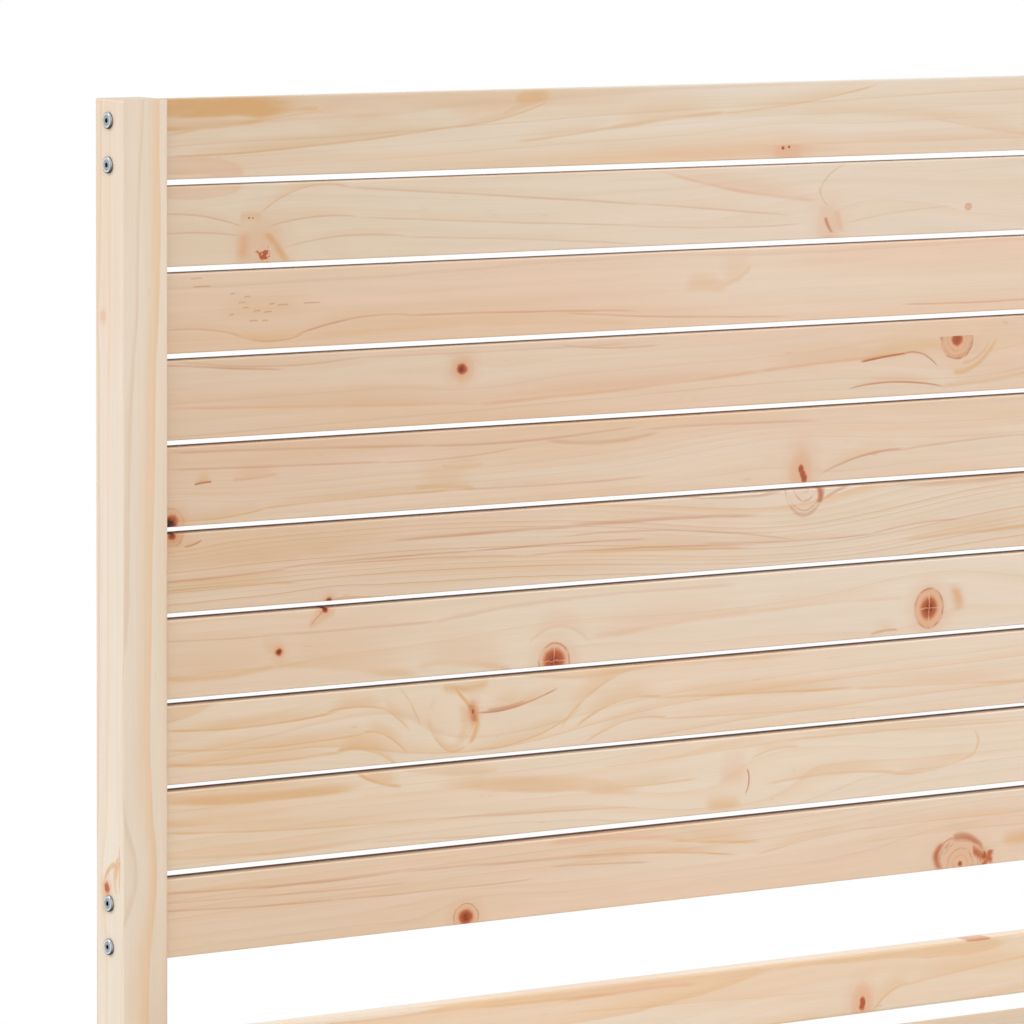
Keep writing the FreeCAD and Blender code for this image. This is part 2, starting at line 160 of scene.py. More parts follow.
class Graph:
    """Adds nodes to one tree; each method gives back the new node's output."""

    def __init__(self, tree):
        self.tree = tree

    def wire(self, socket, value):
        if isinstance(value, bpy.types.NodeSocket):
            self.tree.links.new(value, socket)
        else:
            socket.default_value = value

    def node(self, kind, inputs=(), output=0, **settings):
        made = self.tree.nodes.new(kind)
        for name, value in settings.items():
            setattr(made, name, value)
        for name, value in dict(inputs).items():
            self.wire(made.inputs[name], value)
        return made.outputs[output]

    def math(self, operation, *values, clamp=False):
        return self.node("ShaderNodeMath", enumerate(values), operation=operation, use_clamp=clamp)

    def plus(self, first, second, clamp=False):
        return self.math("ADD", first, second, clamp=clamp)

    def minus(self, first, second):
        return self.math("SUBTRACT", first, second)

    def times(self, first, second, clamp=False):
        return self.math("MULTIPLY", first, second, clamp=clamp)

    def vector(self, operation, *values, output=0):
        return self.node("ShaderNodeVectorMath", enumerate(values), output, operation=operation)

    def scaled(self, vector, factor):
        return self.node("ShaderNodeVectorMath", {0: vector, "Scale": factor}, operation="SCALE")

    def split(self, vector):
        made = self.tree.nodes.new("ShaderNodeSeparateXYZ")
        self.wire(made.inputs[0], vector)
        return made.outputs[0], made.outputs[1], made.outputs[2]

    def join(self, x, y, z):
        return self.node("ShaderNodeCombineXYZ", {0: x, 1: y, 2: z})

    def ramp(self, value, start, end, low=0.0, high=1.0):
        sockets = {"Value": value, "From Min": start, "From Max": end, "To Min": low, "To Max": high}
        return self.node("ShaderNodeMapRange", sockets, interpolation_type="SMOOTHSTEP")

    def noise(self, place, scale=1.0, detail=2.0, roughness=0.5, distortion=0.0):
        sockets = {"Vector": place, "Scale": scale, "Detail": detail, "Roughness": roughness,
                   "Distortion": distortion}
        return self.node("ShaderNodeTexNoise", sockets)

    def mix(self, factor, first, second, blend="MIX"):
        return self.node("ShaderNodeMix", {0: factor, 6: first, 7: second}, 2, data_type="RGBA",
                         blend_type=blend)


kinds = {"vector": "NodeSocketVector", "value": "NodeSocketFloat", "colour": "NodeSocketColor"}


def new_group(name, inputs, outputs):
    """Makes a node group from socket names by kind; gives its graph, its input sockets and its output's."""
    tree = bpy.data.node_groups.new(name, "ShaderNodeTree")
    for way, sockets in (("INPUT", inputs), ("OUTPUT", outputs)):
        for kind, labels in sockets.items():
            for label in labels:
                tree.interface.new_socket(label, in_out=way, socket_type=kinds[kind])
    given = tree.nodes.new("NodeGroupInput").outputs
    return Graph(tree), given, tree.nodes.new("NodeGroupOutput").inputs


def use_group(graph, group, inputs):
    made = graph.tree.nodes.new("ShaderNodeGroup")
    made.node_tree = group
    for name, value in inputs.items():
        graph.wire(made.inputs[name], value)
    return made.outputs


# Knots: each one bends the grain round itself and adds its core, outline and pink field to the marks

def make_knot_group():
    g, given, out = new_group(
        "knot",
        {"vector": ("Place", "Marks", "Centre", "Branch"),
         "value": ("Radius", "Stretch", "Flow", "Core", "Core Size", "Rim", "Arcs", "Field", "Crack",
                   "Ragged", "Cut", "Unevenness", "Grit", "Breaks")},
        {"vector": ("Place", "Marks")})
    offset = g.vector("SUBTRACT", given["Place"], given["Centre"])
    depth = g.vector("DOT_PRODUCT", offset, given["Branch"], output=1)
    flat = g.vector("SUBTRACT", offset, g.scaled(given["Branch"], depth))
    sized = g.scaled(flat, g.math("DIVIDE", 1.0, given["Radius"]))
    along, across, through = g.split(sized)
    squeezed = g.join(g.math("DIVIDE", along, given["Stretch"]), across, through)
    ragged = given["Unevenness"]
    reach = g.vector("LENGTH", squeezed, output=1)
    near = g.plus(reach, g.times(ragged, given["Ragged"]))

    # The grain parts round the knot, with long tails along the board
    tail = g.vector("LENGTH", g.join(g.math("DIVIDE", along, tail_stretch), across, through), output=1)
    push = g.math("EXPONENT", g.times(g.math("POWER", tail, 2.0), tail_fall))
    push = g.times(push, given["Flow"])
    sideways = g.vector("MULTIPLY", flat, (0.0, 1.0, 1.0))
    g.wire(out["Place"], g.vector("SUBTRACT", given["Place"], g.scaled(sideways, push)))

    # Core: soft at its edge, darker and mottled inside, with a fine paler cross of cracks in some
    size = given["Core Size"]
    mottle = g.ramp(given["Grit"], -0.14, 0.14)
    hoops = g.ramp(g.math("SINE", g.times(near, core_rings)), -0.3, 0.9)
    inner = g.ramp(near, size, g.times(size, 0.15))
    dark = g.plus(g.times(mottle, 0.40), g.times(hoops, 0.15))
    dark = g.plus(g.times(dark, inner), g.times(inner, 0.45))
    dark = g.times(dark, given["Core"])
    level = g.plus(0.5, g.times(dark, 0.5))
    core = g.ramp(near, g.times(size, 1.50), g.times(size, 0.65))
    core = g.times(core, level)
    core = g.times(core, g.math("GREATER_THAN", given["Core"], 0.001))
    first = g.math("ABSOLUTE", g.plus(along, g.times(ragged, 0.35)))
    second = g.math("ABSOLUTE", g.minus(across, g.times(ragged, 0.35)))
    cross = g.times(g.ramp(g.math("MINIMUM", first, second), 0.055, 0.012), given["Crack"])
    core = g.times(core, g.minus(1.0, g.times(cross, 0.62)))

    # A thin broken outline, arcs inside it, and a field that fades outward and fills a strong outline
    broken = g.ramp(given["Breaks"], -0.14, 0.10, 0.15, 1.0)
    rim = g.times(g.ramp(near, 0.88, 0.98), g.ramp(near, 1.07, 0.99))
    rim = g.times(rim, given["Rim"])
    rings = g.ramp(g.math("SINE", g.times(near, arc_rings)), 0.70, 1.0)
    rings = g.times(g.times(rings, g.ramp(near, 1.05, 0.85)), given["Arcs"])
    rim = g.times(g.math("MAXIMUM", rim, rings), broken)
    field = g.plus(g.times(g.ramp(near, 1.20, 0.50), 0.60), g.times(g.ramp(near, 2.1, 0.7), 0.40))
    field = g.times(field, given["Field"])
    disc = g.times(g.ramp(near, 1.02, 0.92), g.ramp(given["Rim"], 0.40, 0.85))
    field = g.math("MAXIMUM", field, disc)
    below = g.math("LESS_THAN", g.times(across, given["Radius"]), given["Cut"])
    own_marks = g.scaled(g.join(core, rim, field), below)
    g.wire(out["Marks"], g.vector("MAXIMUM", given["Marks"], own_marks))
    return g.tree


# Streaks: stains, lines and veins on a curve, some with a faint glow above; the tones are gold, pink and vein

def make_streak_group():
    g, given, out = new_group(
        "streak",
        {"vector": ("Place", "Tones", "Centre", "Tone", "Glow"),
         "value": ("Wander", "Length", "Width", "Tilt", "Bow", "Skew", "Soft", "Fade", "Power")},
        {"vector": ("Tones",)})
    along, across, through = g.split(g.vector("SUBTRACT", given["Place"], given["Centre"]))
    rise = g.times(along, g.plus(given["Tilt"], g.times(along, given["Bow"])))
    wander = g.times(given["Wander"], g.plus(wander_least, g.times(given["Width"], wander_by_width)))
    across = g.math("DIVIDE", g.plus(g.minus(across, rise), wander), given["Width"])
    above = g.math("MAXIMUM", across, 0.0)
    below = g.math("DIVIDE", g.math("MAXIMUM", g.times(across, -1.0), 0.0), given["Skew"])
    share = g.math("ABSOLUTE", g.math("DIVIDE", along, given["Length"]))
    ahead = g.math("POWER", share, given["Power"])
    deep = g.math("DIVIDE", through, streak_depth)
    reach = g.vector("LENGTH", g.join(ahead, g.plus(above, below), deep), output=1)
    level = g.ramp(reach, 1.0, g.minus(1.0, given["Soft"]))
    level = g.times(level, g.ramp(share, 1.0, given["Fade"]))
    level = g.times(level, g.ramp(given["Wander"], -0.25, 0.15, 0.55, 1.0))
    wide = g.join(ahead, g.plus(g.times(above, glow_rise), below), deep)
    wide = g.vector("LENGTH", wide, output=1)
    glow = g.times(g.ramp(wide, 1.0, 0.1), g.ramp(share, 1.0, 0.2))
    own = g.vector("MAXIMUM", g.scaled(given["Tone"], level), g.scaled(given["Glow"], glow))
    g.wire(out["Tones"], g.vector("MAXIMUM", given["Tones"], own))
    return g.tree


# Pine: growth rings round a pith beside the board, fibres, broad tints, knots and end grain

def make_pine_group():
    g, given, out = new_group(
        "pine",
        {"vector": ("Place", "Bent", "Marks", "Tones", "Seed"),
         "value": ("Inside", "Arris Highlight", "Painted Falloff", "End", "Pith Across", "Pith Depth", "Taper", "Tilt", "Ring",
                   "Wave", "Band", "Line", "Rosy", "Golden", "Shade")},
        {"colour": ("Colour",), "value": ("Roughness", "Height")})
    seeded = g.vector("ADD", given["Place"], given["Seed"])
    bent = g.vector("ADD", given["Bent"], given["Seed"])
    seed = g.split(given["Seed"])[0]

    # Distance from the pith, made uneven
    along, across, through = g.split(given["Bent"])
    side = g.minus(across, g.times(along, given["Tilt"]))
    side = g.minus(side, given["Pith Across"])
    back = g.plus(g.minus(through, given["Pith Depth"]), g.times(along, given["Taper"]))
    radius = g.math("SQRT", g.plus(g.math("POWER", side, 2.0), g.math("POWER", back, 2.0)))
    for scale, part in ring_waves:
        wave = g.noise(g.vector("MULTIPLY", bent, scale), 1.0, 1.0)
        wave = g.times(g.minus(wave, 0.5), given["Wave"])
        radius = g.plus(radius, g.times(wave, part))
    count = g.math("DIVIDE", radius, given["Ring"])
    share = g.math("FRACT", count)
    index = g.math("FLOOR", count)

    # Each ring darkens slowly to its own strength and ends sharply, some in a thin line
    chance = g.node("ShaderNodeTexWhiteNoise", {"W": g.plus(index, seed)}, 1, noise_dimensions="1D")
    first, second = g.split(chance)[:2]
    close = g.ramp(share, 1.0, 0.94)
    band = g.times(g.ramp(share, 0.10, 0.93), close)
    band = g.times(g.times(band, g.math("POWER", first, 1.4)), given["Band"], clamp=True)
    line = g.times(g.ramp(share, 0.78, 0.93), g.ramp(share, 1.0, 0.95))
    line = g.times(g.times(line, g.math("POWER", second, 1.6)), given["Line"], clamp=True)

    # Broad tints that run along the board
    broad = g.noise(g.vector("MULTIPLY", bent, rosy_scale), 1.0, 2.0)
    other = g.noise(g.vector("MULTIPLY", g.vector("ADD", bent, golden_offset), golden_scale), 1.0, 2.0)
    rosy = g.plus(given["Rosy"], g.ramp(broad, 0.3, 0.7, -0.35, 0.35), clamp=True)
    colour = g.mix(rosy, pale_wood, rosy_wood)
    golden = g.times(g.ramp(other, 0.48, 0.72), given["Golden"])
    colour = g.mix(golden, colour, golden_wood)
    colour = g.mix(band, colour, golden_wood)
    colour = g.mix(line, colour, late_wood)

    # Fibres and short dark flecks, then the knots' fields and the streaks
    fibre = g.noise(g.vector("MULTIPLY", seeded, fibre_scale), 1.0, 3.0, 0.6)
    strand = g.noise(g.vector("MULTIPLY", bent, strand_scale), 1.0, 3.0, 0.6)
    grey = g.plus(g.ramp(fibre, 0.25, 0.75, -0.02, 0.02), g.ramp(strand, 0.25, 0.75, -0.022, 0.022))
    colour = g.mix(1.0, colour, g.join(g.plus(1.0, grey), g.plus(1.0, grey),
                                       g.plus(1.0, g.times(grey, 1.8))), "MULTIPLY")
    fleck = g.noise(g.vector("MULTIPLY", bent, fleck_scale), 1.0, 2.0, 0.6)
    colour = g.mix(g.ramp(fleck, 0.70, 0.80, 0.0, 0.35), colour, late_wood)
    core, rim, field = g.split(given["Marks"])
    gold, pink, vein = g.split(given["Tones"])
    colour = g.mix(field, colour, pink_wood)
    colour = g.mix(pink, colour, pink_wood)
    colour = g.mix(gold, colour, stain_wood)
    colour = g.mix(vein, colour, vein_wood)

    # Knots: the outlines, then the cores from halo to hole
    colour = g.mix(rim, colour, rim_wood)
    colour = g.mix(g.ramp(core, 0.0, 0.25), colour, knot_halo)
    colour = g.mix(g.ramp(core, 0.10, 0.50), colour, knot_red)
    colour = g.mix(g.ramp(core, 0.50, 0.90), colour, knot_dark)
    colour = g.mix(g.ramp(core, 0.90, 1.30), colour, knot_hole)

    # End grain is a little darker; faces between boards get a much darker painted shade, and the arris on top
    # a painted highlight
    colour = g.mix(g.times(given["End"], 0.35), colour, end_wood)
    colour = g.mix(given["Inside"], colour, g.mix(1.0, colour, painted_gap_shade, "MULTIPLY"))
    # Painted light falloff: the boards darken and turn golden towards the left post
    colour = g.mix(given["Painted Falloff"], colour, g.mix(1.0, colour, falloff_shade_tint, "MULTIPLY"))
    shade = g.plus(given["Shade"], g.times(given["Arris Highlight"], 0.20))
    shade = g.join(shade, shade, shade)
    g.wire(out["Colour"], g.mix(1.0, colour, shade, "MULTIPLY"))
    rough = g.plus(g.ramp(fibre, 0.2, 0.8, 0.50, 0.62), g.times(given["End"], 0.2))
    g.wire(out["Roughness"], g.minus(rough, g.times(line, 0.08)))
    height = g.plus(fibre, g.times(line, 0.8))
    g.wire(out["Height"], g.minus(height, g.times(core, 0.6)))
    return g.tree


knot_group = make_knot_group()
streak_group = make_streak_group()
pine_group = make_pine_group()

# Which way each board's grain, width and thickness run, as axis numbers
board_axes = {"across the bed": (0, 2, 1), "laid flat": (0, 1, 2), "down the bed": (1, 2, 0),
              "upright": (2, 0, 1)}


def camera_directions():
    """The camera's right, up and forward directions."""
    flat = math.cos(camera_dip)
    forward = Vector((math.sin(camera_azimuth) * flat, math.cos(camera_azimuth) * flat,
                      -math.sin(camera_dip)))
    level = Vector((math.cos(camera_azimuth), -math.sin(camera_azimuth), 0.0))
    upright = level.cross(forward)
    right = math.cos(camera_roll) * level + math.sin(camera_roll) * upright
    up = math.cos(camera_roll) * upright - math.sin(camera_roll) * level
    return right, up, forward


camera_right, camera_up, camera_forward = camera_directions()


def seen_on(pixel, axis, level):
    """The point of the plane at that level of an axis which a pixel of the photograph shows."""
    half = image_pixels / 2
    ray = (camera_forward + camera_right * ((pixel[0] - half) / focal_pixels)
           - camera_up * ((pixel[1] - half) / focal_pixels))
    return camera_place + ray * ((level - camera_place[axis]) / ray[axis])


def new_material(name):
    """A new material, its graph and its shader."""
    material = bpy.data.materials.new(name)
    material.use_nodes = True
    return material, Graph(material.node_tree), material.node_tree.nodes["Principled BSDF"]


def pine(name, lie, knots=(), streaks=(), inside=False, left_falloff=False, **figure):
    """A pine material for one board; what it isn't told is drawn from the board's own seed."""
    low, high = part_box(name)
    low, high = Vector(low), Vector(high)
    centre = (low + high) / 2
    order = board_axes[lie]
    draw = random.Random(name)
    settings = {
        "Pith Across": draw.choice((-1, 1)) * draw.uniform(0.01, 0.05),
        "Pith Depth": draw.uniform(0.02, 0.05), "Taper": draw.uniform(-0.018, 0.018),
        "Tilt": draw.uniform(-0.02, 0.02), "Ring": draw.uniform(0.0055, 0.0085),
        "Wave": draw.uniform(0.008, 0.018), "Band": draw.uniform(0.55, 0.9),
        "Line": draw.uniform(0.4, 0.75), "Rosy": draw.uniform(0.3, 0.7),
        "Golden": draw.uniform(0.2, 0.6), "Shade": draw.uniform(0.98, 1.02),
        "Seed": Vector((draw.uniform(0, 50), draw.uniform(0, 50), draw.uniform(0, 50)))}
    settings.update(figure)

    material, g, shader = new_material("pine " + name)
    parts = g.split(g.vector("SUBTRACT", g.node("ShaderNodeTexCoord", output="Object"), centre))
    place = g.join(*[parts[axis] for axis in order])
    normal = g.split(g.node("ShaderNodeTexCoord", output="Normal"))
    end = g.ramp(g.math("ABSOLUTE", normal[order[0]]), 0.5, 0.95)
    gap_shade, arris_highlight, falloff_shade = 0.0, 0.0, 0.0
    shader.inputs["IOR"].default_value = wood_index
    shader.inputs["Specular IOR Level"].default_value = wood_shine
    shader.inputs["Coat Weight"].default_value = lacquer
    shader.inputs["Coat Roughness"].default_value = lacquer_roughness
    if inside:
        flat = g.ramp(g.math("ABSOLUTE", normal[order[1]]), 0.90, 0.99)
        # Painted shade on the faces between boards, growing darker from the front of the gap to its back
        gap_shade = g.times(flat, g.ramp(parts[order[2]], *gap_shade_depths))
        # Painted highlight on the top arris of the board
        arris_highlight = g.times(g.ramp(normal[order[1]], 0.02, 0.35), g.minus(1.0, gap_shade))
        g.wire(shader.inputs["Specular IOR Level"], g.ramp(flat, 0.0, 1.0, wood_shine, wood_shine_between))
        g.wire(shader.inputs["Coat Weight"], g.ramp(flat, 0.0, 1.0, lacquer, 0.0))
    if left_falloff:
        # Painted light falloff along the board, strongest at its left end by the post
        falloff_shade = g.ramp(parts[order[0]], *falloff_along)

    def local(point):
        return Vector([(point - centre)[axis] for axis in order])

    seeded = g.vector("ADD", place, settings["Seed"])
    coarse, middling, fine = 0.0, 0.0, 0.0
    if knots:
        coarse, middling, fine = [g.minus(g.noise(seeded, scale, 3.0, 0.55), 0.5)
                                  for scale in unevenness_scales]
    bent, marks = place, (0.0, 0.0, 0.0)
    for each in knots:
        size = each["Radius"]
        sockets = dict(each, Place=bent, Marks=marks, Centre=local(each["Centre"]), Grit=fine, Breaks=coarse,
                       Unevenness=coarse if size > big_knot else middling if size > middling_knot else fine,
                       Branch=Vector([each["Branch"][axis] for axis in order]).normalized())
        made = use_group(g, knot_group, sockets)
        bent, marks = made["Place"], made["Marks"]

    tones = (0.0, 0.0, 0.0)
    wander = g.minus(g.noise(g.vector("MULTIPLY", seeded, wander_scale), 1.0, 2.0), 0.5)
    board = g.split(place)
    turned = {turn: g.join(*[board[axis] for axis in turn])
              for turn in sorted({each["Turn"] for each in streaks})}
    for each in streaks:
        sockets = dict(each)
        turn = sockets.pop("Turn")
        first, middle, last = [Vector([local(point)[axis] for axis in turn])
                               for point in sockets.pop("Through")]
        half = (last[0] - first[0]) / 2
        ahead = middle[0] - (first[0] + last[0]) / 2
        tilt = (last[1] - first[1]) / (2 * half)
        ends = (first[1] + last[1]) / 2
        bow = (ends - (middle[1] - tilt * ahead)) / (half ** 2 - ahead ** 2)
        sockets.update({"Centre": Vector(((first[0] + last[0]) / 2, ends - bow * half ** 2, middle[2])),
                        "Length": abs(half) * length_gain, "Tilt": tilt, "Bow": bow, "Place": turned[turn],
                        "Wander": wander, "Tones": tones})
        tones = use_group(g, streak_group, sockets)["Tones"]

    settings.update({"Place": place, "Bent": bent, "Marks": marks, "Tones": tones, "Inside": gap_shade,
                     "Arris Highlight": arris_highlight, "Painted Falloff": falloff_shade, "End": end})
    made = use_group(g, pine_group, settings)
    g.wire(shader.inputs["Base Color"], made["Colour"])
    g.wire(shader.inputs["Roughness"], made["Roughness"])
    bump = {"Height": made["Height"], "Strength": grain_bump, "Distance": grain_height}
    g.wire(shader.inputs["Normal"], g.node("ShaderNodeBump", bump))
    return material


def dress(name, material):
    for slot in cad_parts[name].material_slots:
        slot.material = material


# Knots and streaks seen in the photograph, by pixel. A view is the plane that pixels are projected on: the
# number of its axis and its level. A branch is the direction in which a knot runs through the wood.
front_view = (1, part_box("headboard_slat_01")[0][1])
rail_view = (1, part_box("head_rail")[0][1])
side_view = (0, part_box("head_post_left")[0][0])
through_boards = (0.12, 1.0, 0.05)
through_sides = (1.0, 0.1, 0.1)


def knot(pixel, radius, core=0.9, size=0.55, rim=0.3, field=0.5, stretch=1.1, flow=0.75, crack=0.0, arcs=0.0,
         ragged=0.5, cut=1.0, view=front_view, branch=through_boards):
    return {"Centre": seen_on(pixel, *view), "Branch": branch, "Radius": radius, "Stretch": stretch,
            "Flow": flow, "Core": core, "Core Size": size, "Rim": rim, "Arcs": arcs, "Field": field,
            "Crack": crack, "Ragged": ragged, "Cut": cut}


one_tone = {"gold": (1.0, 0.0, 0.0), "pink": (0.0, 1.0, 0.0), "vein": (0.0, 0.0, 1.0)}


def streak(tone, x1, y1, x2, y2, x3, y3, width, strength, skew=0.6, soft=0.9, view=front_view, steep=False):
    """A streak of one tone on the curve through three pixels; skew below 1 sharpens its lower side."""
    blunt = soft < blunt_soft or width > blunt_width
    turn = (0, 2, 1) if view == side_view else (0, 1, 2)
    turn = (turn[1], turn[0], turn[2]) if steep else turn
    glow = 0.0 if blunt or steep or skew == 1.0 else strength * glow_share
    level = min(1.0, strength * strength_gain)
    made = {"Through": [seen_on(pixel, *view) for pixel in ((x1, y1), (x2, y2), (x3, y3))], "Turn": turn,
            "Width": width * width_unit, "Skew": skew, "Soft": soft,
            "Tone": tuple(part * level for part in one_tone[tone]),
            "Glow": (0.0, glow, 0.0) if tone == "pink" else (glow, 0.0, 0.0)}
    made.update(blunt_ends if blunt else line_ends)
    return made


gold, pink, vein = [partial(streak, tone) for tone in one_tone]


def more_knots(name, lie, count, first=0.0, last=1.0):
    """Knots at seeded places on a board, between two shares of its length."""
    draw = random.Random("knots " + name)
    low, high = [Vector(corner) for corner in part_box(name)]
    order = board_axes[lie]
    made = []
    for each in range(count):
        share = first + (last - first) * (each + draw.uniform(0.15, 0.85)) / count
        across = draw.uniform(*kept_width)
        centre = (low + high) / 2
        centre[order[0]] = low[order[0]] + share * (high[order[0]] - low[order[0]])
        centre[order[1]] = low[order[1]] + across * (high[order[1]] - low[order[1]])
        branch = Vector((0.08, 0.08, 0.08))
        branch[order[2]] = 1.0
        big = draw.random() < big_share
        made.append({
            "Centre": centre, "Branch": branch,
            "Radius": draw.uniform(*big_radii) if big else draw.uniform(*small_radii),
            "Stretch": draw.uniform(0.95, 1.4), "Flow": draw.uniform(0.7, 0.9),
            "Core": draw.uniform(0.6, 1.0), "Core Size": draw.uniform(0.5, 0.65),
            "Rim": draw.uniform(0.2, 0.7) if big else 0.0, "Arcs": 0.0, "Field": draw.uniform(0.6, 0.9),
            "Crack": float(big and draw.random() < cracked_share),
            "Ragged": draw.uniform(0.3, 0.6), "Cut": 1.0})
    return made


slat_knots = {
    1: [knot((783, 148), 0.0019, 0.6, 0.8, 0.0, 0.3, flow=0.0),
        knot((789, 147), 0.0015, 0.5, 0.8, 0.0, 0.3, flow=0.0),
        knot((788, 151), 0.012, 0.0, 0.2, 0.0, 0.80, 1.5, cut=0.0060, ragged=0.2)],
    2: [knot((264, 254), 0.0080, 0.10, 0.40, 0.0, 0.6, 1.3, flow=0.0, ragged=2.4),
        knot((249, 218), 0.0012, 0.2, 0.7, 0.0, 0.2, flow=0.0),
        knot((253, 218), 0.0010, 0.2, 0.7, 0.0, 0.2, flow=0.0),
        knot((265, 247), 0.0240, 0.0, 0.30, 0.0, 0.45, 0.9, ragged=0.4),
        knot((828, 224), 0.0210, 0.0, 0.20, 0.0, 0.45, 0.70, ragged=0.4),
        knot((968, 208), 0.0030, 0.0, 0.5, 0.9, 0.2, 1.4)],
    3: [],
    4: [knot((462, 369), 0.0115, 0.90, 0.40, 0.10, 0.9, ragged=0.3),
        knot((957, 339), 0.0190, 0.45, 0.31, 0.9, 0.55, 1.0, 0.95, arcs=0.6, cut=0.003, ragged=0.25)],
    5: [knot((801, 469), 0.0056, 0.45, 0.70, 0.0, 0.3, 0.75, flow=0.0, ragged=0.4),
        knot((802.5, 474), 0.0052, 0.45, 0.70, 0.0, 0.3, 0.8, flow=0.0, ragged=0.4),
        knot((804, 478), 0.0060, 0.50, 0.70, 0.0, 0.3, 0.75, flow=0.0, ragged=0.4),
        knot((801, 472), 0.023, 0.0, 0.26, 0.0, 0.85, 0.60, ragged=0.4),
        knot((170, 523), 0.0125, 2.0, 0.50, 0.4, 1.0, 1.1, ragged=0.4)],
    6: [knot((172, 536), 0.0105, 1.2, 0.36, 1.0, 0.9, arcs=1.0, ragged=0.4),
        knot((805, 480), 0.034, 0.0, 0.2, 0.45, 0.20, 0.70, 0.9, arcs=0.55, ragged=0.15),
        knot((329, 601), 0.006, 1.3, 0.5, 0.0, 0.9)],
    7: [knot((554, 661), 0.0165, 0.75, 0.62, 0.70, 0.95, 1.05, crack=1.0, ragged=0.2),
        knot((929, 608), 0.0192, 0.80, 0.52, 0.85, 1.00, 0.90, crack=1.0, ragged=0.2),
        knot((279, 652), 0.0058, 1.3, 0.50, 0.0, 0.9), knot((325, 609), 0.0060, 1.3, 0.50, 0.0, 0.9)],
    8: [knot((473, 712), 0.0110, 0.02, 0.22, 0.0, 1.0, 0.60, flow=0.0, ragged=0.5),
        knot((452, 716), 0.028, 0.0, 0.5, 0.12, 0.0, 0.9, 0.95, ragged=0.3)],
    9: [knot((770, 775), 0.026, 0.0, 0.5, 0.0, 0.0, 1.0, 0.9)],
    10: [knot((466, 917), 0.0125, 0.85, 0.50, 0.62, 0.95, 1.1, ragged=0.2),
         knot((984, 856), 0.0085, 0.15, 0.30, 0.0, 0.8, 0.90, flow=0.0, ragged=1.4),
         knot((960, 864), 0.0260, 0.10, 0.10, 0.60, 0.75, 1.0, arcs=0.55, ragged=0.25)],
}
